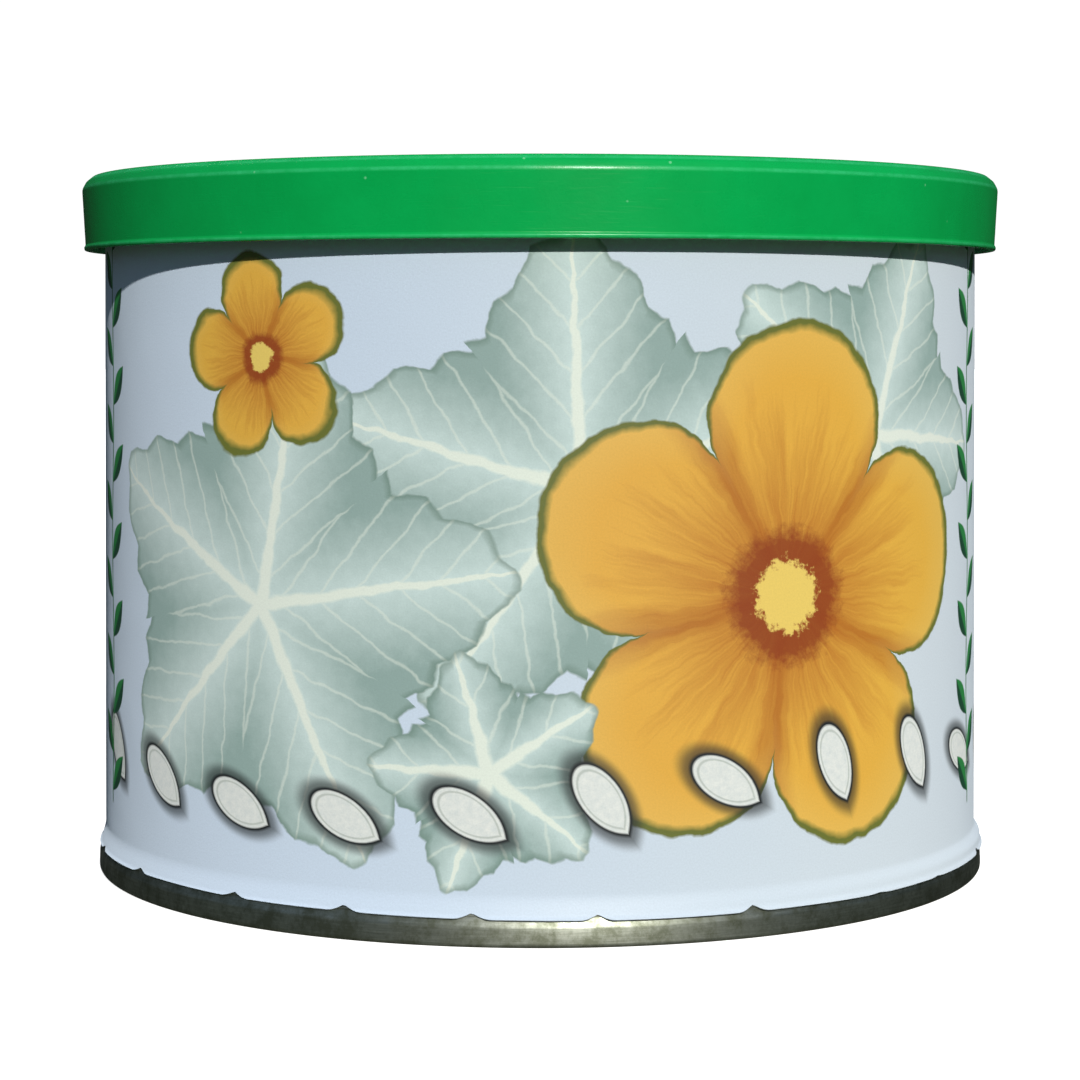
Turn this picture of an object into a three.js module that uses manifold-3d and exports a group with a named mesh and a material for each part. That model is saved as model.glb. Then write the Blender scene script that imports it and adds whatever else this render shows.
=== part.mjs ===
// A low round seed tin: a tinplate can for a 99 mm body, wrapped in a paper label, with a
// green press-on lid over an easy-open end.
//
// Millimetres, +Z up. The origin is the centre of the ring that the tin stands on, and the
// front of the label faces -Y. Angles round the tin are counted from the front, towards +X.
//
// The can is built as cans are: the body wall is folded outwards at both ends, and each end
// is folded round that flange, which gives a double seam of five layers of sheet.

import * as THREE from "three";
import { mergeVertices } from "three/addons/utils/BufferGeometryUtils.js";
import Module from "manifold-3d";

// Driving dimensions
const canHeight = 76.6;
const bodyRadius = 49.55; // to the middle of the body wall, so the can is 98.9 inside
const sheet = 0.2;
const layerGap = 0.1; // sealing compound between two layers of a seam
const seamHeight = 3.3;
const shoulderRise = 0.9; // the seam's shoulder is rounded over this height
const panelDepth = 3.1; // from the can's rim down to the middle of an end's panel
const grooveDepth = 4.1; // and to the middle of the groove round it

const labelThickness = 0.1;
const labelGap = 0.07; // between the label and the tinplate behind it
const labelTop = 73.1;
const notchCount = 22; // small tears where the label is pushed out over the lower seam
const lapWidth = 3; // label sections that lie double at the back

const lidRadius = 52.4;
const lidBottom = 69.7;
const lidTop = 78.0;
const lidWall = 0.8; // the lid's panel; its skirt is a little thicker

// Every turned piece has its flats at the same angles, so thin gaps stay even all round.
const sides = notchCount * 2;
const labelSides = sides * 2;

// The five layers of a seam, from the inside out, by the radius to the middle of each
const layer = sheet + layerGap;
const chuckWallRadius = bodyRadius - layer;
const coverHookRadius = bodyRadius + layer;
const bodyHookRadius = bodyRadius + 2 * layer;
const seamWallRadius = bodyRadius + 3 * layer;
const lowFoldZ = sheet / 2 + 2 * layer; // centre of the body's fold at the rim
const shoulderZ = seamHeight - sheet / 2 - shoulderRise; // centre of the end's far fold
const bodyHookTip = 2.4;
const coverHookTip = 0.95;

// Sections and solids

const point = (radius, z) => new THREE.Vector2(radius, z);

// Points on an ellipse round a centre, from one angle to another, in degrees.
function arc(centre, halfWidth, halfHeight, from, to, steps) {
  return Array.from({ length: steps + 1 }, (_, i) => {
    const angle = THREE.MathUtils.degToRad(from + ((to - from) * i) / steps);
    return point(
      centre.x + halfWidth * Math.cos(angle),
      centre.y + halfHeight * Math.sin(angle),
    );
  });
}

// One side of a bent sheet: each point of its middle line moved out along the bend's bisector.
function faceOf(line, distance) {
  const normal = (a, b) => point(a.y - b.y, b.x - a.x).normalize();
  return line.map((p, i) => {
    const before = normal(line[Math.max(i - 1, 0)], line[Math.max(i, 1)]);
    const last = line.length - 1;
    const after = normal(line[Math.min(i, last - 1)], line[Math.min(i + 1, last)]);
    const bisector = before.clone().add(after).normalize();
    return p.clone().addScaledVector(bisector, distance / bisector.dot(after));
  });
}

// The outline of a sheet, closed unless it starts on the axis.
function sheetOutline(line, thickness) {
  const outline = [
    ...faceOf(line, -thickness / 2),
    ...faceOf(line, thickness / 2).reverse(),
  ];
  return line[0].x === 0 ? outline : [...outline, outline[0]];
}

// A section turned round the tin's axis, with +Z up.
function turned(section) {
  return new THREE.LatheGeometry(section, sides).rotateX(Math.PI / 2);
}

const wasm = await Module();
wasm.setup();

function solidOf(geometry) {
  const bare = geometry.clone();
  bare.deleteAttribute("normal");
  bare.deleteAttribute("uv");
  const merged = mergeVertices(bare, 1e-4);
  return new wasm.Manifold(
    new wasm.Mesh({
      numProp: 3,
      vertProperties: merged.attributes.position.array,
      triVerts: new Uint32Array(merged.index.array),
    }),
  );
}

function geometryOf(solid) {
  const mesh = solid.getMesh();
  return new THREE.BufferGeometry()
    .setAttribute("position", new THREE.BufferAttribute(mesh.vertProperties, 3))
    .setIndex(new THREE.BufferAttribute(mesh.triVerts, 1));
}

// An upright cylinder from one height to another.
function post(radius, low, high, y) {
  return new THREE.CylinderGeometry(radius, radius, high - low, 20)
    .rotateX(Math.PI / 2)
    .translate(0, y, (low + high) / 2);
}

// The can's body: a welded tube whose ends are folded out into hooks
function bodyGeometry() {
  const lowHook = [
    point(bodyHookRadius, bodyHookTip),
    ...arc(point(coverHookRadius, lowFoldZ), layer, layer, 0, -180, 3),
  ];
  const highHook = lowHook.map((p) => point(p.x, canHeight - p.y)).reverse();
  return turned(sheetOutline([...lowHook, ...highHook], sheet));
}

// An end, as it lies in the bottom of the can: its panel, then the groove beside the wall,
// then down the inside of the wall, under the body's fold and up outside it, and last its
// own hook, which is turned down between the wall and the body's hook.
function endLine(panel) {
  const rimRound = 0.4;
  const insideCorner = point(chuckWallRadius + rimRound, sheet / 2 + rimRound);
  const outsideCorner = point(seamWallRadius - rimRound, sheet / 2 + rimRound);
  const shoulder = point(bodyHookRadius, shoulderZ);
  return [
    ...panel,
    point(47.0, panelDepth),
    point(47.9, grooveDepth),
    point(48.7, grooveDepth),
    point(chuckWallRadius, grooveDepth - 0.7),
    ...arc(insideCorner, rimRound, rimRound, 180, 270, 2),
    ...arc(outsideCorner, rimRound, rimRound, 270, 360, 2),
    ...arc(shoulder, layer, shoulderRise, 0, 180, 6),
    point(coverHookRadius, coverHookTip),
  ];
}

// The bottom end, with one pressed ring that stiffens its panel
function bottomEndGeometry() {
  const ringRise = 0.45;
  const panel = [
    point(0, panelDepth),
    point(38.0, panelDepth),
    point(38.8, panelDepth + ringRise),
    point(41.2, panelDepth + ringRise),
    point(42.0, panelDepth),
  ];
  return turned(sheetOutline(endLine(panel), sheet));
}

// The easy-open end: the same seam upside down, with the rivet that holds the pull tab
// raised from its panel
const rivetY = -38.5;
const rivetRadius = 1.9;
const rivetHeadRadius = 3;
const rivetHeadThickness = 0.5;
const tabBottom = canHeight - panelDepth + sheet / 2 + 0.15;
const tabWeb = 0.4; // the tab's floor round the rivet

function topEndGeometry() {
  const ringRise = 0.35;
  const panel = [
    point(0, panelDepth),
    point(31.0, panelDepth),
    point(31.7, panelDepth + ringRise),
    point(45.2, panelDepth + ringRise),
    point(45.8, panelDepth),
  ];
  const line = endLine(panel).map((p) => point(p.x, canHeight - p.y));
  const rivetFoot = canHeight - panelDepth - ringRise;
  const headBottom = tabBottom + tabWeb + 0.07;
  const headTop = headBottom + rivetHeadThickness;
  const end = solidOf(turned(sheetOutline(line, sheet)));
  const shank = solidOf(post(rivetRadius, rivetFoot, headTop - 0.1, rivetY));
  const head = solidOf(post(rivetHeadRadius, headBottom, headTop, rivetY));
  return geometryOf(end.add(shank).add(head));
}

// The pull tab: a nose at the rim, a finger ring towards the middle, and a low floor with a
// hole where the rivet holds it
function pullTabGeometry() {
  const noseRadius = 8;
  const ringRadius = 10;
  const ringY = -24;
  const outline = new THREE.Shape();
  outline.absarc(0, -36, noseRadius, Math.PI, 2 * Math.PI);
  outline.absarc(0, ringY, ringRadius, 0, Math.PI);
  const fingerHole = new THREE.Path();
  fingerHole.absellipse(0, ringY + 0.6, 6.8, 6.4, 0, 2 * Math.PI, true);
  outline.holes.push(fingerHole);
  const edge = 0.25;
  const tab = new THREE.ExtrudeGeometry(outline, {
    depth: 0.8,
    bevelThickness: edge,
    bevelSize: edge,
    bevelOffset: -edge,
    bevelSegments: 1,
    curveSegments: 10,
  }).translate(0, 0, tabBottom + edge);
  const pocket = post(rivetHeadRadius + 1.4, tabBottom + tabWeb, tabBottom + 2, rivetY);
  const rivetHole = post(rivetRadius + 0.15, tabBottom - 1, tabBottom + 1, rivetY);
  return geometryOf(solidOf(tab).subtract(solidOf(pocket)).subtract(solidOf(rivetHole)));
}

// The label: a paper wrap whose lower edge is pushed out over the seam's shoulder. Paper
// doesn't stretch, so that edge has torn into shallow scallops with a notch between each
// two. At the back its ends lap, and it is double.

// A repeatable draw between 0 and 1, for the depth of each notch
function draw(seed) {
  const value = Math.sin(seed * 12.9898 + 4.1414) * 43758.5453;
  return value - Math.floor(value);
}

// How far round the seam's shoulder the label reaches at one section: 90 is on top of the
// shoulder and 0 is at its widest.
function edgeAngle(section) {
  const place = section % 4;
  if (place === 2) return 60 + 15 * draw(section);
  return place === 0 ? 33 : 38;
}

function labelLine(section) {
  const standOff = sheet / 2 + labelGap + labelThickness / 2;
  const middle = bodyRadius + standOff;
  const shoulder = point(bodyHookRadius, shoulderZ);
  const width = layer + standOff;
  const height = shoulderRise + standOff;
  return [
    point(middle, labelTop),
    point(middle, 5.4),
    point(middle + 0.08, 4.4),
    point(middle + 0.2, 3.8),
    ...arc(shoulder, width, height, 100, edgeAngle(section), 3),
  ];
}

function labelGeometry() {
  const backSection = labelSides / 2;
  const rings = Array.from({ length: labelSides }, (_, section) => {
    const line = labelLine(section);
    const lapped = Math.abs(section - backSection) < lapWidth;
    const outerFace = labelThickness * (lapped ? 1.5 : 0.5);
    const outline = [...faceOf(line, outerFace), ...faceOf(line, -labelThickness / 2).reverse()];
    const angle = (2 * Math.PI * section) / labelSides;
    return outline.map((p) => [p.x * Math.sin(angle), -p.x * Math.cos(angle), p.y]);
  });
  const around = rings[0].length;
  const index = [];
  for (let s = 0; s < labelSides; s += 1) {
    const next = (s + 1) % labelSides;
    for (let i = 0; i < around; i += 1) {
      const j = (i + 1) % around;
      const [a, b] = [s * around + i, s * around + j];
      const [c, d] = [next * around + j, next * around + i];
      index.push(a, b, c, a, c, d);
    }
  }
  const positions = new Float32Array(rings.flat(2));
  return new THREE.BufferGeometry()
    .setAttribute("position", new THREE.BufferAttribute(positions, 3))
    .setIndex(index);
}

// The lid: a moulded cap with a low rim that the next tin's seam sits in, a bevelled
// shoulder, a skirt that draws in a little, and a bead inside that grips under the seam
function lidGeometry() {
  const rimTop = lidTop;
  const ledge = lidTop - 0.5;
  const middle = lidTop - 0.8;
  const shoulder = lidTop - 1.5;
  const bead = canHeight - seamHeight - 0.5;
  const lipRadius = lidRadius - 0.15;
  const draft = 0.35; // how much the skirt draws in over its height
  const inside = 51.15;
  const beadRadius = inside - 1;
  const section = [
    point(0, middle),
    point(43.6, middle),
    point(44.4, ledge),
    point(50.35, ledge),
    point(50.7, rimTop - 0.05),
    point(51.05, rimTop),
    point(51.35, rimTop - 0.2),
    point(lidRadius - 0.1, shoulder + 0.2),
    point(lidRadius, shoulder - 0.1),
    point(lidRadius - draft, lidBottom + 0.7),
    point(lipRadius, lidBottom + 0.5),
    point(lipRadius, lidBottom + 0.2),
    point(lipRadius - 0.2, lidBottom),
    point(inside + 0.3, lidBottom),
    point(inside, bead - 0.8),
    point(beadRadius, bead - 0.1),
    point(beadRadius, bead + 0.1),
    point(inside, bead + 0.9),
    point(inside, ledge - lidWall - 0.4),
    point(inside - 0.35, ledge - lidWall),
    point(44.8, ledge - lidWall),
    point(44.0, middle - lidWall),
    point(0, middle - lidWall),
  ];
  return turned(section.reverse());
}

// The pieces, each with its own finish

const tin = new THREE.MeshStandardMaterial({ color: 0x9c9f97, roughness: 0.35, metalness: 1 });
const lacquered = new THREE.MeshStandardMaterial({ color: 0xc9cac6, roughness: 0.3, metalness: 1 });
const paper = new THREE.MeshStandardMaterial({ color: 0xdfe8f0, roughness: 0.35, metalness: 0 });
const green = new THREE.MeshStandardMaterial({ color: 0x069c45, roughness: 0.4, metalness: 0 });

const seedTin = new THREE.Group();

function addPiece(name, geometry, material) {
  const piece = new THREE.Mesh(geometry, material);
  piece.name = name;
  seedTin.add(piece);
}

addPiece("can_body", bodyGeometry(), tin);
addPiece("bottom_end", bottomEndGeometry(), tin);
addPiece("easy_open_end", topEndGeometry(), lacquered);
addPiece("pull_tab", pullTabGeometry(), lacquered);
addPiece("label", labelGeometry(), paper);
addPiece("lid", lidGeometry(), green);

export default seedTin;
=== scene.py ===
# %% [markdown]
# # A round seed tin with a green press-on lid
# The real object is a low tinplate can with a paper label round it and a moulded plastic lid on top.
# Every part but the label is turned, so one drawn section, spun round the axis, makes each of them.
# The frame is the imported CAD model. It gives the places and sizes, and the pieces made here stand
# for its nodes, with finer curves and the finishes that the real tin shows.

import math

import bpy
import numpy as np
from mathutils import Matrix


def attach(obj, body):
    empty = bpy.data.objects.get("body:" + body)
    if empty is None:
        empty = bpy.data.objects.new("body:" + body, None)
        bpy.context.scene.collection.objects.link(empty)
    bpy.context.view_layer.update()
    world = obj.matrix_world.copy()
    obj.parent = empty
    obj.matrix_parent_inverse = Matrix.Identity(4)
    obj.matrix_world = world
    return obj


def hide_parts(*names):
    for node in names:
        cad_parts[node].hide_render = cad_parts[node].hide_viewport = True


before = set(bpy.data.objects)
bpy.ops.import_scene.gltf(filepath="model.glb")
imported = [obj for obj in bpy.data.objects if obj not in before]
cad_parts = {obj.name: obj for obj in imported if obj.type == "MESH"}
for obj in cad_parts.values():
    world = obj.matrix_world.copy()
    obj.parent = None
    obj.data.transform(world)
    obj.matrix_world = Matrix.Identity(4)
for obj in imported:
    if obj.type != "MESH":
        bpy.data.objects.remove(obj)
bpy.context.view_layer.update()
print("frame:", sorted(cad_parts))

# %% [markdown]
# ## Sizes
# All the sizes are written in millimetres, as a can maker's drawing has them, and turned to metres
# where a mesh is made. They are the CAD model's own sizes.

# %% Sizes
MM = 0.001
CAN_HEIGHT = 76.6
BODY_RADIUS = 49.55  # to the middle of the sheet
SHEET = 0.2
LAYER = 0.3  # from the middle of one layer of the seam to the middle of the next
SEAM_RADIUS = BODY_RADIUS + 3 * LAYER
HOOK_RADIUS = BODY_RADIUS + 2 * LAYER
COVER_HOOK_RADIUS = BODY_RADIUS + LAYER
CHUCK_RADIUS = BODY_RADIUS - LAYER
SHOULDER_Z = 2.02  # where the seam's face turns into its slanting shoulder
PANEL_DEPTH = 3.1
LABEL_OUTSIDE = 49.82
LABEL_TOP = 73.1
PAPER = 0.1
TURN_STEPS = 256

# %% [markdown]
# ## Helpers for turned pieces
# A section is a list of corners: a radius, a height, and how far from the corner its rounding starts.
# Pressed sheet and moulded plastic have no truly sharp corner, and it is the small roundings that
# catch the light. Each rounding is a short curve that touches both sides of its corner.


# %% Section helpers
def rounded(corners, steps=5):
    """The section's points, with each corner rounded off."""
    points = []
    for i, (radius, height, rounding) in enumerate(corners):
        corner = np.array((radius, height))
        if rounding == 0 or i in (0, len(corners) - 1):
            points.append(corner)
            continue
        before = np.array(corners[i - 1][:2]) - corner
        after = np.array(corners[i + 1][:2]) - corner
        room = 0.45 * min(np.linalg.norm(before), np.linalg.norm(after))
        reach = min(rounding, room)
        start = corner + before / np.linalg.norm(before) * reach
        end = corner + after / np.linalg.norm(after) * reach
        for t in np.linspace(0, 1, steps):
            points.append((1 - t) ** 2 * start + 2 * t * (1 - t) * corner + t**2 * end)
    return points


def arc(centre, half_width, half_height, first, last, steps):
    """Corners on an ellipse, from one angle to another in degrees, with nothing left to round."""
    angles = np.radians(np.linspace(first, last, steps + 1))
    return [
        (centre[0] + half_width * math.cos(a), centre[1] + half_height * math.sin(a), 0)
        for a in angles
    ]


# %% [markdown]
# The section is drawn as by hand: a plane is merged to one vertex, the vertex is extruded from
# point to point, and the line is spun a full turn. The spin's last step lands on its first, so the
# doubles are merged, which also closes the poles on the axis, and the normals are then set outwards.


# %% Turn a section
def turned(name, section, wall=0.0):
    """A piece spun round the tin's axis. A section that is a single line gets its wall's thickness."""
    bpy.ops.object.select_all(action="DESELECT")
    bpy.ops.mesh.primitive_plane_add(size=MM)
    piece = bpy.context.object
    piece.name = piece.data.name = name
    points = [(p[0] * MM, 0, p[1] * MM) for p in rounded(section)]
    bpy.ops.object.mode_set(mode="EDIT")
    bpy.ops.mesh.select_all(action="SELECT")
    bpy.ops.mesh.merge(type="CENTER")
    bpy.ops.transform.translate(value=points[0])
    for here, there in zip(points, points[1:]):
        step = tuple(b - a for a, b in zip(here, there))
        bpy.ops.mesh.extrude_region_move(TRANSFORM_OT_translate={"value": step})
    bpy.ops.mesh.select_all(action="SELECT")
    bpy.ops.mesh.spin(
        steps=TURN_STEPS, angle=2 * math.pi, center=(0, 0, 0), axis=(0, 0, 1)
    )
    bpy.ops.mesh.select_all(action="SELECT")
    bpy.ops.mesh.remove_doubles(threshold=1e-7)
    bpy.ops.mesh.normals_make_consistent(inside=False)
    bpy.ops.object.mode_set(mode="OBJECT")
    if wall:
        solid = piece.modifiers.new("wall", "SOLIDIFY")
        solid.thickness = wall * MM
        solid.offset = 0
        solid.use_even_offset = True
        bpy.ops.object.modifier_apply(modifier=solid.name)
    bpy.ops.object.shade_smooth_by_angle(angle=math.radians(50))
    print(name, len(piece.data.polygons), "faces")
    return piece


# %% [markdown]
# ## The lid
# The lid is injection moulded from low-density polyethylene: a low rim that the next tin's seam
# sits in, a bevelled shoulder, a skirt that draws in by its draft, a thin lip at the bottom, and a
# bead inside that grips under the can's seam. It could be built from cylinders and booleans, but
# one closed section that is spun gives every rounding in a single piece.

# %% Lid
LID_SECTION = [
    (0, 77.42, 0),
    (1.3, 77.42, 0.2),
    (1.6, 77.2, 0.15),
    (29.6, 77.2, 0.15),
    (29.85, 77.32, 0.1),
    (30.35, 77.32, 0.1),
    (30.6, 77.2, 0.15),
    (43.6, 77.2, 0.25),
    (44.4, 77.5, 0.25),
    (50.4, 77.5, 0.12),
    (50.72, 78.0, 0.2),
    (51.2, 78.0, 0.18),
    (51.95, 77.38, 0.12),
    (52.4, 76.58, 0.34),
    (52.03, 70.3, 0.08),
    (52.2, 70.05, 0.18),
    (52.12, 69.7, 0.16),
    (51.4, 69.7, 0.15),
    (51.15, 72.0, 0.3),
    (50.15, 72.7, 0.15),
    (50.15, 72.9, 0.1),
    (51.15, 73.7, 0.3),
    (51.15, 76.7, 0.4),
    (44.8, 76.7, 0.25),
    (44.0, 76.4, 0.25),
    (0, 76.4, 0),
]
lid = turned("green_lid", LID_SECTION)

# %% [markdown]
# ## The can's wall
# The wall is a tube of tinplate, folded outwards at both ends into hooks. Almost all of it is behind
# the label, but its hooks are the layers that the two ends are folded round.

# %% Can wall
LOW_HOOK = [
    (HOOK_RADIUS, 2.4, 0),
    *arc((COVER_HOOK_RADIUS, 0.7), LAYER, LAYER, 0, -180, 10),
]
HIGH_HOOK = [(r, CAN_HEIGHT - z, k) for r, z, k in reversed(LOW_HOOK)]
can_wall = turned("can_wall", LOW_HOOK + HIGH_HOOK, wall=SHEET)


# %% [markdown]
# ## The two ends
# Each end is one pressed sheet. From its panel it goes up into a groove, down the inside of the
# wall, under the body's fold and up outside it, over a rounded shoulder and down again as the
# hook: that is the double seam, which shows below the label as a metal band.


# %% Ends
def end_section(panel):
    """The middle line of an end's sheet, as it lies in the bottom of the can."""
    return [
        *panel,
        (47.0, PANEL_DEPTH, 0.4),
        (47.9, PANEL_DEPTH + 1.0, 0.35),
        (48.7, PANEL_DEPTH + 1.0, 0.3),
        (CHUCK_RADIUS, 3.4, 0.3),
        (CHUCK_RADIUS, 0.1, 0.4),
        (SEAM_RADIUS, 0.1, 0.38),
        (SEAM_RADIUS - 0.06, SHOULDER_Z, 0.14),
        (SEAM_RADIUS - 0.42, 2.98, 0.15),
        (HOOK_RADIUS - 0.1, 3.2, 0.15),
        (COVER_HOOK_RADIUS, 3.2, 0.25),
        (COVER_HOOK_RADIUS, 0.95, 0),
    ]


LOW_PANEL = [
    (0, PANEL_DEPTH, 0),
    (38.0, PANEL_DEPTH, 0.5),
    (38.8, PANEL_DEPTH + 0.45, 0.4),
    (41.2, PANEL_DEPTH + 0.45, 0.4),
    (42.0, PANEL_DEPTH, 0.5),
]
lower_end = turned("lower_end", end_section(LOW_PANEL), wall=SHEET)

# %% [markdown]
# The easy-open end has the same seam, upside down. Its panel has a pressed ring and a rivet for the
# tab, and all of it is hidden while the lid is on.

# %% Upper end
TOP_PANEL = [
    (0, PANEL_DEPTH, 0),
    (31.0, PANEL_DEPTH, 0.5),
    (31.7, PANEL_DEPTH + 0.35, 0.4),
    (45.2, PANEL_DEPTH + 0.35, 0.4),
    (45.8, PANEL_DEPTH, 0.4),
]
UPPER_SECTION = [(r, CAN_HEIGHT - z, k) for r, z, k in end_section(TOP_PANEL)]
upper_end = turned("upper_end", UPPER_SECTION, wall=SHEET)

RIVET_Y = -38.5
RIVET_RADIUS = 1.9
RIVET_FOOT = CAN_HEIGHT - PANEL_DEPTH - 0.35
HEAD_RADIUS = 3.0
HEAD_UNDERSIDE = 74.22
HEAD_TOP = HEAD_UNDERSIDE + 0.5
rivet = turned(
    "rivet",
    [
        (0, RIVET_FOOT, 0),
        (RIVET_RADIUS, RIVET_FOOT, 0),
        (RIVET_RADIUS, HEAD_UNDERSIDE, 0.1),
        (HEAD_RADIUS, HEAD_UNDERSIDE, 0.1),
        (HEAD_RADIUS, HEAD_TOP, 0.25),
        (0, HEAD_TOP, 0),
    ],
)
bpy.ops.object.mode_set(mode="EDIT")
bpy.ops.mesh.select_all(action="SELECT")
bpy.ops.transform.translate(value=(0, RIVET_Y * MM, 0))
bpy.ops.object.mode_set(mode="OBJECT")
bpy.ops.object.select_all(action="DESELECT")
rivet.select_set(True)
upper_end.select_set(True)
bpy.context.view_layer.objects.active = upper_end
bpy.ops.object.join()
print("upper end with its rivet:", len(upper_end.data.polygons), "faces")

# %% [markdown]
# ## The label
# The label is a flat strip of paper that is glued round the can and lapped at the back. Its lower
# edge is pushed out over the seam, and since paper doesn't stretch, that edge has torn into shallow
# scallops with a small notch between each two. A flat grid is the sheet as it was cut, so its
# own UV map is the printer's drawing. It is wrapped by formula, because no operator tears an
# edge, and at the end it gets the thickness of the paper.

# %% Label's edge
LAP = 8.0
FLAT_LENGTH = 2 * math.pi * LABEL_OUTSIDE + LAP
COLUMNS = 800
STRAIGHT_ROWS = 12
EDGE_ROWS = 18
FLARE_FROM = 5.3
SUDDEN_FLARE = 1.4  # the height that the flare takes at the label's right
STAND_OFF = 0.58  # how far the flared edge stands out
CURL_FROM = 3.25
CURL_HEIGHT = 0.35
CURL_OUT = 0.17
EDGE_Z = 2.94
RIGHT_DROP = 0.2  # the label was glued a little lower at its right
NOTCH_HALF_WIDTH = 1.9
FRONT_NOTCHES = [-58, -38.4, -22.9, -7.7, 6.5, 25, 43.7, 56.5]

tears = np.random.default_rng(7)
side_notches = np.linspace(56.5, 302, 16)[1:-1] + tears.uniform(-3, 3, 14)
notch_places = np.radians(np.concatenate([FRONT_NOTCHES, side_notches])) * LABEL_OUTSIDE
notch_rises = tears.uniform(0.35, 0.62, len(notch_places))
notch_rises[6:8] *= 0.35  # two that hardly opened
print("notches in the label's edge:", len(notch_places))


def edge_height(place):
    """The label's lower edge, in mm, at a distance along the label from the middle of its front.

    It drops a little at the right, waves by hundredths of a millimetre, and rises at each notch.
    """
    around = 2 * math.pi * LABEL_OUTSIDE
    side = np.sin(place / LABEL_OUTSIDE)
    height = EDGE_Z - RIGHT_DROP * np.clip(3 * side + 0.6, 0, 1)
    height = height + 0.03 * np.sin(place / 9.0) + 0.02 * np.sin(place / 3.7 + 1)
    for notch, rise in zip(notch_places, notch_rises):
        away = np.abs((place - notch + around / 2) % around - around / 2)
        height = height + rise * np.clip(1 - away / NOTCH_HALF_WIDTH, 0, 1) ** 2
    return height


def label_radius(place, height):
    """The outside of the label, in mm.

    It flares like a bell, and more suddenly at its right, and the last bit of its edge curls out.
    """
    side = np.sin(place / LABEL_OUTSIDE)
    stand_off = STAND_OFF + 0.08 * side
    slow = np.clip((FLARE_FROM - height) / (FLARE_FROM - EDGE_Z), 0, 1.1)
    sudden = np.clip((FLARE_FROM - 0.2 - height) / SUDDEN_FLARE, 0, 1)
    bell = slow * slow * (2 - slow)
    step = sudden * sudden * (3 - 2 * sudden)
    right = np.clip(side, 0, 1) ** 2
    curl = np.clip((CURL_FROM - height) / CURL_HEIGHT, 0, 1.2) ** 2
    return LABEL_OUTSIDE + stand_off * (bell + (step - bell) * right) + CURL_OUT * curl


# %% Wrap the label
bpy.ops.object.select_all(action="DESELECT")
bpy.ops.mesh.primitive_grid_add(
    x_subdivisions=COLUMNS, y_subdivisions=STRAIGHT_ROWS + EDGE_ROWS, size=1
)
label = bpy.context.object
label.name = label.data.name = "paper_label"
corners = np.empty(len(label.data.vertices) * 3)
label.data.vertices.foreach_get("co", corners)
corners = corners.reshape(-1, 3)

place = corners[:, 0] * FLAT_LENGTH
row = np.rint((0.5 - corners[:, 1]) * (STRAIGHT_ROWS + EDGE_ROWS))
down = np.clip(row / STRAIGHT_ROWS, 0, 1)
out = np.clip((row - STRAIGHT_ROWS) / EDGE_ROWS, 0, 1)
height = LABEL_TOP + (FLARE_FROM - LABEL_TOP) * down
height = height + (edge_height(place) - FLARE_FROM) * out

radius = label_radius(place, height)
lapped = np.clip((place - FLAT_LENGTH / 2 + LAP + 2) / 2, 0, 1)
radius = radius + (PAPER + 0.015) * lapped * lapped * (3 - 2 * lapped)
angle = place / LABEL_OUTSIDE
wrapped = np.stack(
    (radius * np.sin(angle), -radius * np.cos(angle), height), axis=1
) * MM
label.data.vertices.foreach_set("co", wrapped.ravel())
print("label:", len(place), "vertices, out to", round(radius.max(), 2), "mm")

# %% [markdown]
# The print is drawn on the flat sheet, so the UV map keeps the flat distance along the label and the
# height above the table, in units of 100 mm.

# %% Label's flat map and thickness
flat_map = label.data.uv_layers[0]
flat_map.name = "flat"
loops = np.empty(len(label.data.loops), dtype=int)
label.data.loops.foreach_get("vertex_index", loops)
flat = np.stack((place[loops], height[loops]), axis=1) / 100
flat_map.data.foreach_set("uv", flat.ravel())
bpy.ops.object.mode_set(mode="EDIT")
bpy.ops.mesh.select_all(action="SELECT")
bpy.ops.mesh.normals_make_consistent(inside=False)
bpy.ops.object.mode_set(mode="OBJECT")
paper = label.modifiers.new("paper", "SOLIDIFY")
paper.thickness = PAPER * MM
paper.offset = -1
bpy.ops.object.modifier_apply(modifier=paper.name)
bpy.ops.object.shade_smooth_by_angle(angle=math.radians(50))
middle = label.data.polygons[len(label.data.polygons) // 4]
print("label faces out:", middle.normal.dot(middle.center) > 0)


# %% [markdown]
# ## Materials
# Each is named for the real finish. Colours are written as sRGB hex values and turned to the linear
# values that a shader wants by one function, and one function adds a node.


# %% Material helpers
def hex_colour(code):
    """sRGB hex to linear RGBA."""
    channels = [int(code[i : i + 2], 16) / 255 for i in (1, 3, 5)]
    linear = [c / 12.92 if c <= 0.04045 else ((c + 0.055) / 1.055) ** 2.4 for c in channels]
    return (*linear, 1.0)


def add_node(tree, kind, inputs=None, out=0, **settings):
    """Adds a node with its settings, and values or links for its inputs, and returns an output."""
    made = tree.nodes.new("ShaderNode" + kind)
    for name, value in settings.items():
        setattr(made, name, value)
    for socket, value in (inputs or {}).items():
        if isinstance(value, bpy.types.NodeSocket):
            tree.links.new(value, made.inputs[socket])
        else:
            made.inputs[socket].default_value = value
    return made.outputs[out] if made.outputs else made


def new_material(name):
    """An empty material and its node tree."""
    made = bpy.data.materials.new(name)
    made.use_nodes = True
    made.node_tree.nodes.clear()
    return made, made.node_tree


def finish_with(piece, material):
    """The piece wears this material alone."""
    piece.data.materials.clear()
    piece.data.materials.append(material)


# %% [markdown]
# ### Moulded polyethylene
# Low-density polyethylene comes out of a polished mould with a half gloss. The pigment makes it a
# deep, even green. It is soft, so it soon takes fine scratches, its ridges are rubbed paler, and
# static holds dust on it. The pale bands on the ridges and the lip are partly that rubbing and partly
# a painted highlight. Scratches are 0.15 mm wide here, coarser than real ones, so they show.

# %% Polyethylene
poly, tree = new_material("moulded green polyethylene")
spot = add_node(tree, "TexCoord", out="Object")
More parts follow.
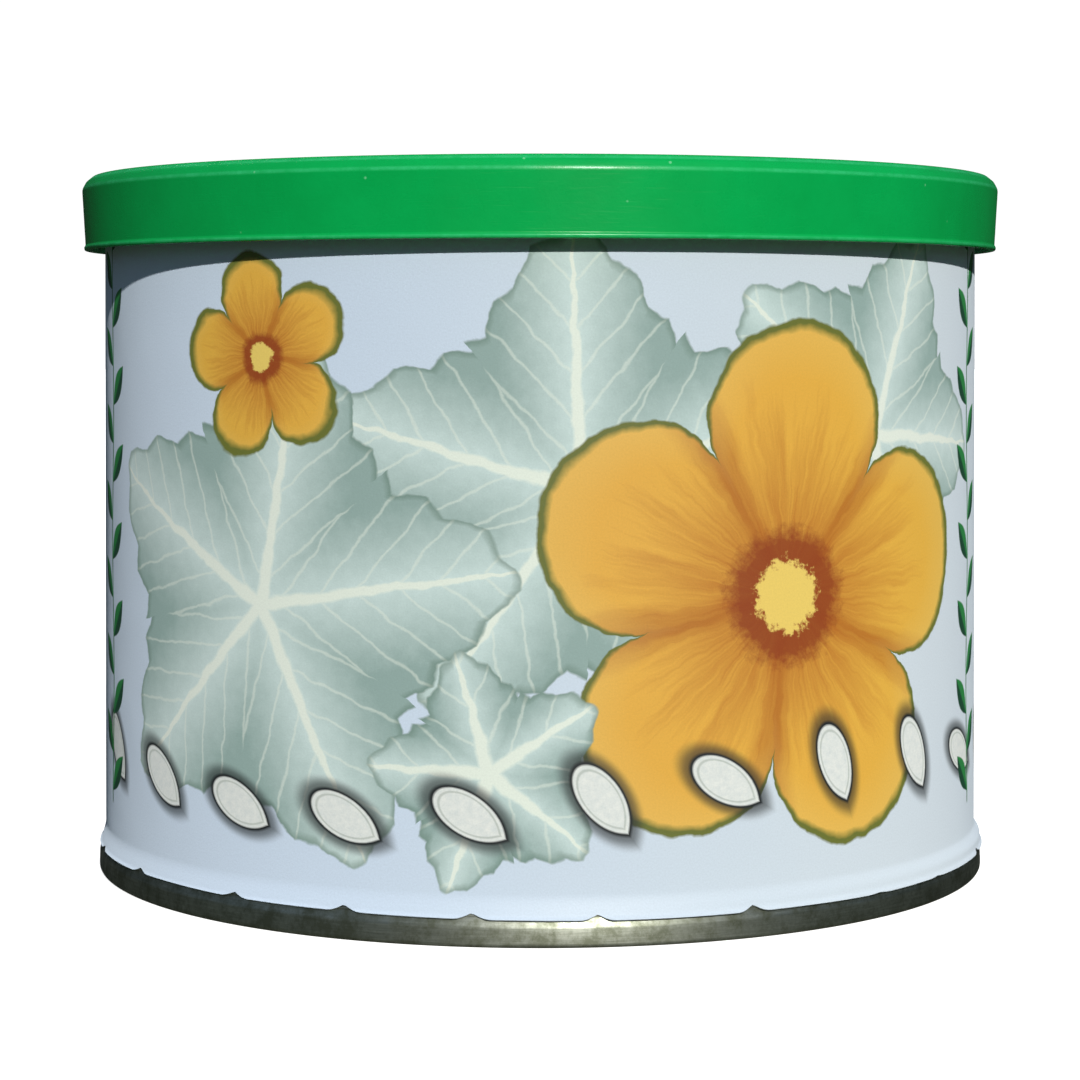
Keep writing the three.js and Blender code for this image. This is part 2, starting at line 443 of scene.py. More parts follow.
# The pigment's clouds are 8 mm across. Object coordinates are in metres, so that is a scale of 120
flow = add_node(
    tree, "TexNoise", {"Vector": spot, "Scale": 120.0, "Detail": 5.0, "Roughness": 0.65}
)
green = add_node(
    tree,
    "Mix",
    {0: flow, 6: hex_colour("#00A247"), 7: hex_colour("#04BC5A")},
    out=2,
    data_type="RGBA",
)
# The two ridges above the skirt and the lip below it, by their heights: boxes and hands rub them
# paler, and their pale bands are also a painted highlight
up = add_node(tree, "SeparateXYZ", {0: spot}, out=2)
rub_and_highlight_band = 0.0
for ridge_z, half_width in ((77.68, 0.2), (76.6, 0.26), (69.98, 0.2)):
    away = add_node(tree, "Math", {0: up, 1: ridge_z * MM}, operation="SUBTRACT")
    away = add_node(tree, "Math", {0: away}, operation="ABSOLUTE")
    near = add_node(tree, "MapRange", {0: away, 1: half_width * MM, 2: 0.08 * MM})
    rub_and_highlight_band = add_node(tree, "Math", {0: near, 1: rub_and_highlight_band}, operation="MAXIMUM")
# A ridge's pale band, part rubbing and part painted highlight, comes and goes in patches of 2 mm
rubs = add_node(
    tree, "TexNoise", {"Vector": spot, "Scale": 500.0, "Detail": 4.0, "Roughness": 0.7}
)
rubs = add_node(tree, "MapRange", {0: rubs, 1: 0.3, 2: 0.65, 3: 0.12, 4: 0.62})
rubbed_and_highlit = add_node(tree, "Math", {0: rub_and_highlight_band, 1: rubs}, operation="MULTIPLY")
# Painted highlight and rubbing together: the bands are mixed to a paler green
green = add_node(
    tree, "Mix", {0: rubbed_and_highlit, 6: green, 7: hex_colour("#3FD285")}, out=2, data_type="RGBA"
)
# Dust: specks 0.3 mm across, one to a cell of 1.4 mm, kept in one cell of ten
cells = add_node(tree, "TexVoronoi", {"Vector": spot, "Scale": 700.0}, out="Distance")
kept = add_node(tree, "TexVoronoi", {"Vector": spot, "Scale": 700.0}, out="Color")
kept = add_node(tree, "SeparateColor", {0: kept})
kept = add_node(tree, "Math", {0: kept, 1: 0.9}, operation="GREATER_THAN")
speck = add_node(tree, "MapRange", {0: cells, 1: 0.13, 2: 0.07, 4: 0.7})
speck = add_node(tree, "Math", {0: speck, 1: kept}, operation="MULTIPLY")
green = add_node(
    tree, "Mix", {0: speck, 6: green, 7: hex_colour("#86DDA6")}, out=2, data_type="RGBA"
)
# Scratches: noise that is long round the lid and thin up it, and breaks off now and then
stretched = add_node(tree, "Mapping", {"Vector": spot, "Scale": (220, 220, 5200)})
scratch = add_node(tree, "TexNoise", {"Vector": stretched, "Scale": 1.0, "Detail": 2.0})
scratch = add_node(tree, "MapRange", {0: scratch, 1: 0.62, 2: 0.75})
# Handling dulls the gloss in patches of 7 mm, and the mould leaves a grain of 0.4 mm
dullness = add_node(
    tree, "TexNoise", {"Vector": spot, "Scale": 150.0, "Detail": 4.0, "Roughness": 0.6}
)
gloss = add_node(tree, "MapRange", {0: dullness, 1: 0.3, 2: 0.7, 3: 0.24, 4: 0.31})
gloss = add_node(tree, "Math", {0: scratch, 1: 0.1, 2: gloss}, operation="MULTIPLY_ADD")
grain = add_node(tree, "TexNoise", {"Vector": spot, "Scale": 2500.0, "Detail": 2.0})
relief = add_node(tree, "Math", {0: scratch, 1: -0.5, 2: grain}, operation="MULTIPLY_ADD")
bump = add_node(tree, "Bump", {"Height": relief, "Strength": 0.06, "Distance": 0.0002})
shader = add_node(
    tree,
    "BsdfPrincipled",
    {
        "Base Color": green,
        "Roughness": gloss,
        "IOR": 1.51,
        "Specular IOR Level": 0.3,
        "Normal": bump,
    },
)
add_node(tree, "OutputMaterial", {"Surface": shader})
finish_with(lid, poly)

# %% [markdown]
# ### Tinplate
# Tinplate is thin steel with a bright coat of tin. Rolling leaves fine lines in it, and the seaming
# rollers draw more of them round the seam, so a highlight on it is stretched across the lines.
# The streaks are 6 mm long and 0.15 mm wide, and handling leaves dull patches 2 mm across over
# them. The easy-open end and its tab are the same sheet under a clear lacquer, which keeps it
# clean and gives it a warmer, more even shine.

# %% Tinplate
def tinplate(name, low, high, stain, dullest, smoothest):
    """Tinplate with these colours: the lines' dark and bright ones, and that of the patches."""
    metal, tree = new_material(name)
    spot = add_node(tree, "TexCoord", out="Object")
    drawn = add_node(tree, "Mapping", {"Vector": spot, "Scale": (170, 170, 6500)})
    lines = add_node(
        tree, "TexNoise", {"Vector": drawn, "Scale": 1.0, "Detail": 4.0, "Roughness": 0.65}
    )
    patches = add_node(
        tree, "TexNoise", {"Vector": spot, "Scale": 420.0, "Detail": 6.0, "Roughness": 0.75}
    )
    bright = add_node(
        tree, "Mix", {0: lines, 6: hex_colour(low), 7: hex_colour(high)}, out=2, data_type="RGBA"
    )
    dirt = add_node(tree, "MapRange", {0: patches, 1: 0.4, 2: 0.62, 4: 0.85})
    bright = add_node(
        tree, "Mix", {0: dirt, 6: bright, 7: hex_colour(stain)}, out=2, data_type="RGBA"
    )
    dull = add_node(
        tree, "MapRange", {0: patches, 1: 0.3, 2: 0.7, 3: smoothest, 4: dullest}
    )
    dull = add_node(tree, "Math", {0: lines, 1: 0.12, 2: dull}, operation="MULTIPLY_ADD")
    bump = add_node(tree, "Bump", {"Height": lines, "Strength": 0.12, "Distance": 0.0001})
    # The lines run round the axis, so the highlight's grain does too
    across = add_node(tree, "SeparateXYZ", {0: spot}, out=1)
    across = add_node(tree, "Math", {0: across, 1: -1.0}, operation="MULTIPLY")
    along = add_node(tree, "SeparateXYZ", {0: spot}, out=0)
    round_axis = add_node(tree, "CombineXYZ", {0: across, 1: along})
    shader = add_node(
        tree,
        "BsdfPrincipled",
        {
            "Base Color": bright,
            "Roughness": dull,
            "Metallic": 1.0,
            "Anisotropic": 0.5,
            "Anisotropic Rotation": 0.25,
            "Tangent": round_axis,
            "Normal": bump,
        },
    )
    add_node(tree, "OutputMaterial", {"Surface": shader})
    return metal


tin = tinplate("rolled tinplate", "#8C9080", "#DDE0D2", "#787C66", 0.5, 0.36)
lacquered = tinplate("clear-lacquered tinplate", "#BDBDB4", "#DEDED6", "#B9B39C", 0.36, 0.28)
finish_with(lower_end, tin)
finish_with(can_wall, tin)
finish_with(upper_end, lacquered)
finish_with(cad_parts["pull_tab"], lacquered)

# %% [markdown]
# ### The label's print
# The printed paper is coated white stock with a thin varnish. What it shows is a design of this
# tin's own: pale sage leaves, golden blossoms with a green rim, a row of cream seeds with soft
# shadows, and a green sprig at each side. It is drawn on the flat label, in millimetres, and it
# comes twice round the tin, so the back is as finished as the front.
#
# Each motif is a shape in polar coordinates. A point's distance from the motif's centre is compared
# with the outline's distance at the same angle, and the difference says inside, edge or outside.

# %% Flat coordinates of the print
PRINT_REPEAT = math.pi * LABEL_OUTSIDE
paper_finish, tree = new_material("varnished label paper")
flat_place = add_node(tree, "UVMap", uv_map="flat")
flat_mm = add_node(tree, "VectorMath", {0: flat_place, 3: 100.0}, operation="SCALE")
along_label = add_node(tree, "SeparateXYZ", {0: flat_mm}, out=0)
up_label = add_node(tree, "SeparateXYZ", {0: flat_mm}, out=1)
in_panel = add_node(
    tree,
    "Math",
    {0: along_label, 1: PRINT_REPEAT / 2, 2: -PRINT_REPEAT / 2},
    operation="WRAP",
)
panel = add_node(tree, "CombineXYZ", {0: in_panel, 1: up_label})
# Outlines waver by up to 0.65 mm over every 3 mm, as if drawn by hand
wobble = add_node(
    tree, "TexNoise", {"Vector": panel, "Scale": 0.35, "Detail": 3.0}, out="Color"
)
wobble = add_node(tree, "VectorMath", {0: wobble, 1: (0.5, 0.5, 0.5)}, operation="SUBTRACT")
hand_drawn = add_node(
    tree, "VectorMath", {0: wobble, 1: (1.3, 1.3, 0), 2: panel}, operation="MULTIPLY_ADD"
)


def polar(centre, turn, size, parts):
    """Distance from a motif's centre, in sizes, and the angle from its nearest lobe."""
    local = add_node(
        tree,
        "Mapping",
        {
            "Vector": hand_drawn,
            "Location": (*centre, 0),
            "Rotation": (0, 0, math.radians(turn)),
            "Scale": (size, size, 1),
        },
        vector_type="TEXTURE",
    )
    x = add_node(tree, "SeparateXYZ", {0: local}, out=0)
    y = add_node(tree, "SeparateXYZ", {0: local}, out=1)
    reach = add_node(tree, "VectorMath", {0: local}, out=1, operation="LENGTH")
    angle = add_node(tree, "Math", {0: y, 1: x}, operation="ARCTAN2")
    lobe = add_node(
        tree, "Math", {0: angle, 1: math.pi / parts, 2: -math.pi / parts}, operation="WRAP"
    )
    return reach, lobe


def outline(lobe, parts, pointed, depth, power):
    """The motif's outline at an angle, in sizes: 1 at a tip and 1 - depth between two."""
    half = add_node(tree, "Math", {0: lobe, 1: parts / 2}, operation="MULTIPLY")
    wave = add_node(tree, "Math", {0: half}, operation="SINE" if pointed else "COSINE")
    wave = add_node(tree, "Math", {0: wave}, operation="ABSOLUTE")
    wave = add_node(tree, "Math", {0: wave, 1: power}, operation="POWER")
    ends = {3: 1.0, 4: 1.0 - depth} if pointed else {3: 1.0 - depth, 4: 1.0}
    return add_node(tree, "MapRange", {0: wave, **ends})


# %% [markdown]
# A leaf has pointed lobes. Its ribs run to the tips, with side veins that slant off them, and it is
# paler along the ribs and darker in the folds between the lobes.


# %% Leaf
def leaf(ink, centre, turn, size, parts=5):
    """Prints one sage leaf over the ink that is there."""
    reach, lobe = polar(centre, turn, size, parts)
    edge = outline(lobe, parts, True, 0.3, 1.35)
    teeth = add_node(tree, "Math", {0: lobe, 1: 5.5 * parts}, operation="MULTIPLY")
    teeth = add_node(tree, "Math", {0: teeth, 1: math.pi / 2}, operation="ADD")
    teeth = add_node(tree, "Math", {0: teeth, 1: math.pi}, operation="PINGPONG")
    edge = add_node(tree, "Math", {0: teeth, 1: -0.016, 2: edge}, operation="MULTIPLY_ADD")
    inside = add_node(tree, "Math", {0: edge, 1: reach}, operation="SUBTRACT")
    mask = add_node(tree, "MapRange", {0: inside, 1: 0.0, 2: 0.3 / size})
    sine = add_node(tree, "Math", {0: lobe}, operation="SINE")
    cosine = add_node(tree, "Math", {0: lobe}, operation="COSINE")
    off_rib = add_node(tree, "Math", {0: reach, 1: sine}, operation="MULTIPLY")
    off_rib = add_node(tree, "Math", {0: off_rib}, operation="ABSOLUTE")
    along = add_node(tree, "Math", {0: reach, 1: cosine}, operation="MULTIPLY")
    fold = add_node(tree, "MapRange", {0: off_rib, 1: 0.0, 2: 0.3})
    mottle = add_node(
        tree, "TexNoise", {"Vector": panel, "Scale": 0.6, "Detail": 6.0, "Roughness": 0.7}
    )
    tone = add_node(tree, "Math", {0: mottle, 1: 0.5, 2: fold}, operation="MULTIPLY_ADD")
    tone = add_node(tree, "MapRange", {0: tone, 1: 0.1, 2: 1.2})
    colour = add_node(
        tree,
        "Mix",
        {0: tone, 6: hex_colour("#DFEFEC"), 7: hex_colour("#9FB8B2")},
        out=2,
        data_type="RGBA",
    )
    slant = add_node(tree, "Math", {0: off_rib, 1: -1.1, 2: along}, operation="MULTIPLY_ADD")
    slant = add_node(tree, "Math", {0: slant, 1: size / 4.5}, operation="MULTIPLY")
    slant = add_node(tree, "Math", {0: slant}, operation="FRACT")
    slant = add_node(tree, "Math", {0: slant, 1: 0.5}, operation="SUBTRACT")
    slant = add_node(tree, "Math", {0: slant}, operation="ABSOLUTE")
    side_vein = add_node(tree, "MapRange", {0: slant, 1: 0.07, 2: 0.02, 4: 0.45})
    taper = add_node(tree, "MapRange", {0: reach, 3: 0.75 / size, 4: 0.1 / size})
    rib = add_node(tree, "Math", {0: off_rib, 1: taper}, operation="DIVIDE")
    rib = add_node(tree, "MapRange", {0: rib, 1: 1.3, 2: 0.7})
    vein = add_node(tree, "Math", {0: side_vein, 1: rib}, operation="MAXIMUM")
    colour = add_node(
        tree, "Mix", {0: vein, 6: colour, 7: hex_colour("#EEF5EA")}, out=2, data_type="RGBA"
    )
    rim = add_node(tree, "MapRange", {0: inside, 1: 1.1 / size, 2: 0.2 / size, 4: 0.65})
    colour = add_node(
        tree, "Mix", {0: rim, 6: colour, 7: hex_colour("#6F8C7D")}, out=2, data_type="RGBA"
    )
    return add_node(tree, "Mix", {0: mask, 6: ink, 7: colour}, out=2, data_type="RGBA")


# %% [markdown]
# A blossom has rounded petals with a deep notch between each two. It is golden, with orange streaks
# that run out from the throat, a thin dark green rim, and a ruffled yellow heart.


# %% Blossom
def blossom(ink, centre, turn, size, parts=5):
    """Prints one golden blossom over the ink that is there."""
    reach, lobe = polar(centre, turn, size, parts)
    edge = outline(lobe, parts, False, 0.42, 0.55)
    inside = add_node(tree, "Math", {0: edge, 1: reach}, operation="SUBTRACT")
    mask = add_node(tree, "MapRange", {0: inside, 1: 0.0, 2: 0.3 / size})
    spread = add_node(tree, "Math", {0: lobe, 1: 9.0}, operation="MULTIPLY")
    streak_place = add_node(tree, "CombineXYZ", {0: spread, 1: reach, 2: size})
    streaks = add_node(
        tree,
        "TexNoise",
        {"Vector": streak_place, "Scale": 2.2, "Detail": 5.0, "Roughness": 0.65},
    )
    deep = add_node(tree, "Math", {0: streaks, 1: 0.9, 2: reach}, operation="MULTIPLY_ADD")
    deep = add_node(tree, "MapRange", {0: deep, 1: 0.55, 2: 1.15})
    colour = add_node(
        tree,
        "Mix",
        {0: deep, 6: hex_colour("#C9812F"), 7: hex_colour("#EDBB4C")},
        out=2,
        data_type="RGBA",
    )
    pale = add_node(tree, "MapRange", {0: inside, 1: 0.22, 2: 0.04, 4: 0.55})
    colour = add_node(
        tree, "Mix", {0: pale, 6: colour, 7: hex_colour("#EFCB6A")}, out=2, data_type="RGBA"
    )
    fold = add_node(tree, "Math", {0: lobe}, operation="ABSOLUTE")
    fold = add_node(
        tree,
        "MapRange",
        {0: fold, 1: 0.72 * math.pi / parts, 2: math.pi / parts, 4: 0.6},
    )
    colour = add_node(
        tree, "Mix", {0: fold, 6: colour, 7: hex_colour("#B5601B")}, out=2, data_type="RGBA"
    )
    rim = add_node(tree, "MapRange", {0: inside, 1: 1.5 / size, 2: 0.7 / size})
    colour = add_node(
        tree, "Mix", {0: rim, 6: colour, 7: hex_colour("#747B36")}, out=2, data_type="RGBA"
    )
    ruffle = add_node(
        tree, "TexNoise", {"Vector": panel, "Scale": 1.1, "Detail": 4.0, "Roughness": 0.7}
    )
    heart = add_node(tree, "Math", {0: ruffle, 1: -0.14, 2: reach}, operation="MULTIPLY_ADD")
    throat = add_node(tree, "MapRange", {0: heart, 1: 0.2, 2: 0.13, 4: 0.85})
    colour = add_node(
        tree, "Mix", {0: throat, 6: colour, 7: hex_colour("#9A3F1C")}, out=2, data_type="RGBA"
    )
    heart = add_node(tree, "MapRange", {0: heart, 1: 0.07, 2: 0.05})
    colour = add_node(
        tree, "Mix", {0: heart, 6: colour, 7: hex_colour("#F3D873")}, out=2, data_type="RGBA"
    )
    return add_node(tree, "Mix", {0: mask, 6: ink, 7: colour}, out=2, data_type="RGBA")


# %% [markdown]
# The seeds lie in a row that rises and falls, each turned its own way. A seed is a drop: one lobe,
# pointed at one end. A soft shadow and a dark edge lift it off whatever is printed behind it.


# %% Seeds
def seeds(ink, spacing, height, swing, size):
    """Prints a row of cream seeds over the ink that is there."""
    steps = add_node(tree, "Math", {0: in_panel, 1: 1 / spacing}, operation="MULTIPLY")
    number = add_node(tree, "Math", {0: steps}, operation="FLOOR")
    share = add_node(tree, "Math", {0: steps, 1: number}, operation="SUBTRACT")
    across = add_node(tree, "Math", {0: share, 1: 0.5}, operation="SUBTRACT")
    across = add_node(tree, "Math", {0: across, 1: spacing}, operation="MULTIPLY")
    swung = add_node(tree, "Math", {0: number, 1: 0.71}, operation="MULTIPLY")
    swung = add_node(tree, "Math", {0: swung}, operation="SINE")
    level = add_node(
        tree, "Math", {0: swung, 1: -swing, 2: up_label}, operation="MULTIPLY_ADD"
    )
    level = add_node(tree, "Math", {0: level, 1: height}, operation="SUBTRACT")
    local = add_node(tree, "CombineXYZ", {0: across, 1: level})
    tilt = add_node(tree, "TexWhiteNoise", {"W": number}, noise_dimensions="1D")
    tilt = add_node(tree, "MapRange", {0: tilt, 3: 0.4, 4: 1.3})
    local = add_node(
        tree, "VectorRotate", {"Vector": local, "Angle": tilt}, rotation_type="Z_AXIS"
    )
    local = add_node(
        tree, "VectorMath", {0: local, 1: (1 / size, 1.75 / size, 0)}, operation="MULTIPLY"
    )
    x = add_node(tree, "SeparateXYZ", {0: local}, out=0)
    x = add_node(tree, "Math", {0: x, 1: 0.3}, operation="ADD")
    y = add_node(tree, "SeparateXYZ", {0: local}, out=1)
    centred = add_node(tree, "CombineXYZ", {0: x, 1: y})
    reach = add_node(tree, "VectorMath", {0: centred}, out=1, operation="LENGTH")
    angle = add_node(tree, "Math", {0: y, 1: x}, operation="ARCTAN2")
    edge = outline(angle, 1, True, 0.45, 0.75)
    inside = add_node(tree, "Math", {0: edge, 1: reach}, operation="SUBTRACT")
    shadow = add_node(
        tree,
        "MapRange",
        {0: inside, 1: -0.32, 2: 0.0, 4: 0.75},
        interpolation_type="SMOOTHSTEP",
    )
    ink = add_node(
        tree, "Mix", {0: shadow, 6: ink, 7: hex_colour("#2B3130")}, out=2, data_type="RGBA"
    )
    dark_edge = add_node(tree, "MapRange", {0: inside, 1: 0.0, 2: 0.06})
    ink = add_node(
        tree, "Mix", {0: dark_edge, 6: ink, 7: hex_colour("#23282A")}, out=2, data_type="RGBA"
    )
    mottle = add_node(
        tree, "TexNoise", {"Vector": panel, "Scale": 1.5, "Detail": 4.0, "Roughness": 0.6}
    )
    cream = add_node(
        tree,
        "Mix",
        {0: mottle, 6: hex_colour("#FBFBF4"), 7: hex_colour("#D5DDDC")},
        out=2,
        data_type="RGBA",
    )
    ring = add_node(tree, "Math", {0: inside, 1: 0.2}, operation="SUBTRACT")
    ring = add_node(tree, "Math", {0: ring}, operation="ABSOLUTE")
    ring = add_node(tree, "MapRange", {0: ring, 1: 0.035, 2: 0.01, 4: 0.5})
    cream = add_node(
        tree, "Mix", {0: ring, 6: cream, 7: hex_colour("#A9B3A8")}, out=2, data_type="RGBA"
    )
    body = add_node(tree, "MapRange", {0: inside, 1: 0.08, 2: 0.12})
    return add_node(tree, "Mix", {0: body, 6: ink, 7: cream}, out=2, data_type="RGBA")


# %% [markdown]
# A sprig climbs each side of a panel: a thin stem, with leaves that stand off it left and right in
# turn. A leaf leaves the stem at half a right angle, so it is drawn in coordinates turned by that,
# and it is widest in its middle. The one half of it is darker than the other, as if it were folded.


# %% Sprigs
SPRIG_FOOT = 8.5  # the height at which the stems start, on a multiple of their leaves' spacing


def sprigs(ink, away, spacing, leaf_length, leaf_width):
    """Prints the green sprigs over the ink that is there."""
    out_from_middle = add_node(tree, "Math", {0: in_panel}, operation="ABSOLUTE")
    sway = add_node(tree, "Math", {0: up_label, 1: 0.21}, operation="MULTIPLY")
    sway = add_node(tree, "Math", {0: sway}, operation="SINE")
    stem = add_node(tree, "Math", {0: sway, 1: 0.35, 2: away}, operation="MULTIPLY_ADD")
    off = add_node(tree, "Math", {0: out_from_middle, 1: stem}, operation="SUBTRACT")
    off_stem = add_node(tree, "Math", {0: off}, operation="ABSOLUTE")
    stem_line = add_node(tree, "Math", {0: 0.28, 1: off_stem}, operation="SUBTRACT")
    outer = add_node(tree, "Math", {0: off, 1: 0.0}, operation="GREATER_THAN")
    turn_by_turn = add_node(
        tree, "Math", {0: outer, 1: spacing / 2, 2: up_label}, operation="MULTIPLY_ADD"
    )
    rise = add_node(tree, "Math", {0: turn_by_turn, 1: spacing, 2: 0.0}, operation="WRAP")
    foot = add_node(tree, "Math", {0: up_label, 1: rise}, operation="SUBTRACT")
    whole = add_node(tree, "Math", {0: foot, 1: SPRIG_FOOT - 0.1}, operation="GREATER_THAN")
    rise = add_node(tree, "Math", {0: rise, 1: leaf_width / 2}, operation="SUBTRACT")
    along = add_node(tree, "Math", {0: off_stem, 1: rise}, operation="ADD")
    along = add_node(tree, "Math", {0: along, 1: math.sqrt(0.5)}, operation="MULTIPLY")
    across = add_node(tree, "Math", {0: rise, 1: off_stem}, operation="SUBTRACT")
    across = add_node(tree, "Math", {0: across, 1: math.sqrt(0.5)}, operation="MULTIPLY")
    along = add_node(tree, "Math", {0: along, 1: leaf_length}, operation="DIVIDE", use_clamp=True)
    swell = add_node(tree, "Math", {0: along, 1: math.pi}, operation="MULTIPLY")
    swell = add_node(tree, "Math", {0: swell}, operation="SINE")
    swell = add_node(tree, "Math", {0: swell, 1: whole}, operation="MULTIPLY")
    width = add_node(tree, "Math", {0: swell, 1: leaf_width / 2}, operation="MULTIPLY")
    off_rib = add_node(tree, "Math", {0: across}, operation="ABSOLUTE")
    blade = add_node(tree, "Math", {0: width, 1: off_rib}, operation="SUBTRACT")
    shape = add_node(tree, "Math", {0: stem_line, 1: blade}, operation="MAXIMUM")
    mask = add_node(tree, "MapRange", {0: shape, 1: 0.0, 2: 0.15})
    low = add_node(tree, "MapRange", {0: up_label, 1: SPRIG_FOOT, 2: SPRIG_FOOT + 0.3})
    mask = add_node(tree, "Math", {0: mask, 1: low}, operation="MULTIPLY")
    half = add_node(tree, "MapRange", {0: across, 1: -0.12, 2: 0.12})
    colour = add_node(
        tree,
        "Mix",
        {0: half, 6: hex_colour("#1D4A34"), 7: hex_colour("#2F8746")},
        out=2,
        data_type="RGBA",
    )
    return add_node(tree, "Mix", {0: mask, 6: ink, 7: colour}, out=2, data_type="RGBA")


# %% Print the label
# Painted light: the white stock is mixed bluer at each panel's left and greyer at its right, as sky
# light and shade on the two sides
painted_light_side = add_node(
    tree, "Math", {0: in_panel, 1: 2 * math.pi / PRINT_REPEAT}, operation="MULTIPLY"
)
painted_light_side = add_node(tree, "Math", {0: painted_light_side}, operation="SINE")
painted_side_light = add_node(tree, "MapRange", {0: painted_light_side, 1: -1.0, 2: 1.0})
ink = add_node(
    tree,
    "Mix",
    {0: painted_side_light, 6: hex_colour("#D8E6F5"), 7: hex_colour("#DBE5EC")},
    out=2,
    data_type="RGBA",
)
ink = leaf(ink, (38, 50), 68, 23)
ink = leaf(ink, (4, 45), 20, 27)
ink = leaf(ink, (-30, 33), 152, 29)
ink = blossom(ink, (-30, 58), 30, 11)
ink = blossom(ink, (26, 34), 12, 28)
ink = leaf(ink, (-5, 17), 250, 13)
ink = seeds(ink, PRINT_REPEAT / 12, 14.0, 2.2, 6.2)
ink = sprigs(ink, 61.5, 8.5, 6.4, 2.8)
print("print:", len(tree.nodes), "nodes")

# %% [markdown]
# Offset printing leaves a fine grain in the ink. The paper's coat is smooth but its fibres are
# rough, so it looks almost evenly bright wherever the sun reaches it, and the varnish adds a weak gloss.

# %% Paper
# In millimetres: the ink's grain is 0.2, the fibres are 0.3, and the paper cockles over 11
grain = add_node(
    tree, "TexNoise", {"Vector": panel, "Scale": 5.0, "Detail": 2.0, "Roughness": 0.8}
)
grain = add_node(tree, "MapRange", {0: grain, 1: 0.3, 2: 0.7, 3: 0.95, 4: 1.03})
ink = add_node(tree, "VectorMath", {0: ink, 3: grain}, operation="SCALE")
fibres = add_node(
    tree, "TexNoise", {"Vector": panel, "Scale": 3.0, "Detail": 5.0, "Roughness": 0.7}
)
cockle = add_node(
    tree, "TexNoise", {"Vector": panel, "Scale": 0.09, "Detail": 1.0}
)
relief = add_node(tree, "Math", {0: cockle, 1: 6.0, 2: fibres}, operation="MULTIPLY_ADD")
bump = add_node(tree, "Bump", {"Height": relief, "Strength": 0.1, "Distance": 0.0003})
varnish = add_node(tree, "MapRange", {0: fibres, 1: 0.3, 2: 0.7, 3: 0.46, 4: 0.58})
shader = add_node(
    tree,
    "BsdfPrincipled",
    {
        "Base Color": ink,
        "Diffuse Roughness": 0.6,
        "Roughness": varnish,
        "IOR": 1.5,
        "Normal": bump,
    },
)
add_node(tree, "OutputMaterial", {"Surface": shader})
finish_with(label, paper_finish)

# %% [markdown]
# ## What each piece stands for
# The tin has no joints, so it is a single body, and every piece rides on it.

# %% Ride and replace
for piece, node, slot in (
    (lid, "lid", "green_polyethylene"),
    (label, "label", "printed_paper"),
    (lower_end, "bottom_end", "tinplate"),
    (can_wall, "can_body", "tinplate"),
    (upper_end, "easy_open_end", "lacquered_tinplate"),
):
    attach(piece, "root")
    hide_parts(node)

# %% [markdown]
# ## Floor, light and camera
# The photo is a cut-out on white, but its light is that of a garden. The sun stood 13 degrees to the
# right of the camera and 30 degrees high, and the tin reflects a blue sky and a dark ground. So the
# camera sees a pale table that is lit from below, as in a product studio, and a white world, while
# the tin is lit by the sun and by a world that goes from ground to sky. That world is darker behind
# the tin, because its edges mirror something dark there. The table throws no light on the tin, and a
# soft lamp behind it fills the side that the camera doesn't see.

# %% Floor
bpy.ops.object.select_all(action="DESELECT")
bpy.ops.mesh.primitive_circle_add(vertices=128, radius=4, fill_type="NGON")
floor = bpy.context.object
floor.name = "studio_floor"
floor_finish, tree = new_material("white lit table")
shader = add_node(
    tree,
    "BsdfPrincipled",
    {
        "Base Color": hex_colour("#F4F2EE"),
        "Roughness": 0.8,
        "Emission Color": (1.0, 0.99, 0.97, 1.0),
        "Emission Strength": 0.86,
    },
)
add_node(tree, "OutputMaterial", {"Surface": shader})
finish_with(floor, floor_finish)
floor.visible_diffuse = False
floor.visible_glossy = False

# %% World
GROUND = (0.062, 0.072, 0.056, 1)
SKY = (0.13, 0.19, 0.29, 1)
FRONT_STRENGTH = 0.9
BACK_STRENGTH = 0.31
world = bpy.data.worlds.new("studio")
bpy.context.scene.world = world
world.use_nodes = True
tree = world.node_tree
tree.nodes.clear()
direction = add_node(tree, "TexCoord", out="Generated")
height_up = add_node(tree, "SeparateXYZ", {0: direction}, out=2)
behind = add_node(tree, "SeparateXYZ", {0: direction}, out=1)
skyward = add_node(
    tree, "MapRange", {0: height_up, 1: 0.0, 2: 0.5}, interpolation_type="SMOOTHSTEP"
)
around_tin = add_node(tree, "Mix", {0: skyward, 6: GROUND, 7: SKY}, out=2, data_type="RGBA")
strength = add_node(
    tree, "MapRange", {0: behind, 1: -0.1, 2: 0.7, 3: FRONT_STRENGTH, 4: BACK_STRENGTH}
)
seen = add_node(tree, "Background", {"Color": (1, 1, 1, 1), "Strength": 1.05})
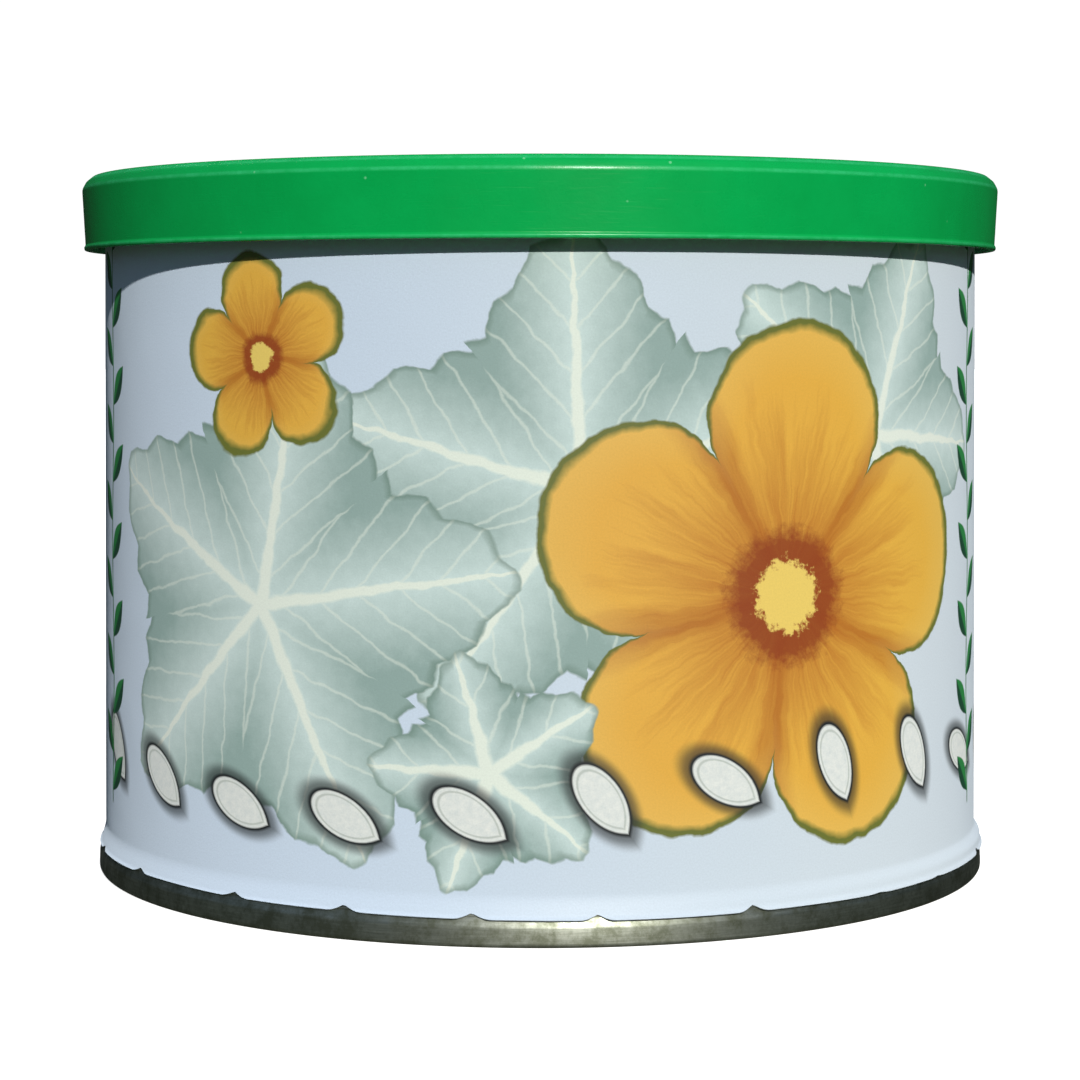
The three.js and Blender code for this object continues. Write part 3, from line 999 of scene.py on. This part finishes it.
lit = add_node(tree, "Background", {"Color": around_tin, "Strength": strength})
ray = add_node(tree, "LightPath", out="Is Camera Ray")
mix = add_node(tree, "MixShader", {0: ray, 1: lit, 2: seen})
add_node(tree, "OutputWorld", {"Surface": mix})


# %% Lamps
SUN_FROM = (13, 30)  # azimuth from the front to the right, and elevation, in degrees
FILL_FROM = (190, 35)
LAMP_AWAY = 1.5  # in metres; a sun lamp shines the same from any distance


def from_side(azimuth, elevation):
    """The place of a lamp that is seen from the tin in that direction."""
    a, e = math.radians(azimuth), math.radians(elevation)
    return (
        LAMP_AWAY * math.sin(a) * math.cos(e),
        -LAMP_AWAY * math.cos(a) * math.cos(e),
        LAMP_AWAY * math.sin(e),
    )


def aimed(azimuth, elevation):
    """The turn that points a lamp from there at the tin."""
    return (math.radians(90 - elevation), 0, math.radians(azimuth))


bpy.ops.object.light_add(
    type="SUN", location=from_side(*SUN_FROM), rotation=aimed(*SUN_FROM)
)
sun = bpy.context.object
sun.name = "key"
sun.data.energy = 3.1
sun.data.angle = math.radians(1.2)
sun.data.color = (1.0, 0.98, 0.94)
bpy.ops.object.light_add(
    type="SUN", location=from_side(*FILL_FROM), rotation=aimed(*FILL_FROM)
)
fill = bpy.context.object
fill.name = "back_fill"
fill.data.energy = 1.6
fill.data.angle = math.radians(30)
fill.visible_glossy = False

# %% [markdown]
# The camera was fitted to the photo's silhouette and to four ellipses on the tin. It stands about a
# third of a metre away, 61 mm up, and looks down by 0.6 degrees. The vertical shift frames the tin
# as the photo does.

# %% Camera
CAMERA_AWAY = 0.3237
CAMERA_HEIGHT = 0.0608
CAMERA_DIP = 0.0104  # in radians
bpy.ops.object.camera_add(
    location=(0, -CAMERA_AWAY, CAMERA_HEIGHT),
    rotation=(math.pi / 2 - CAMERA_DIP, 0, 0),
)
camera = bpy.context.object
camera.data.lens = 93.0
camera.data.sensor_width = 36
camera.data.shift_y = -0.168
camera.data.clip_start = 0.01
bpy.context.scene.camera = camera
bpy.context.scene.view_settings.view_transform = "Standard"
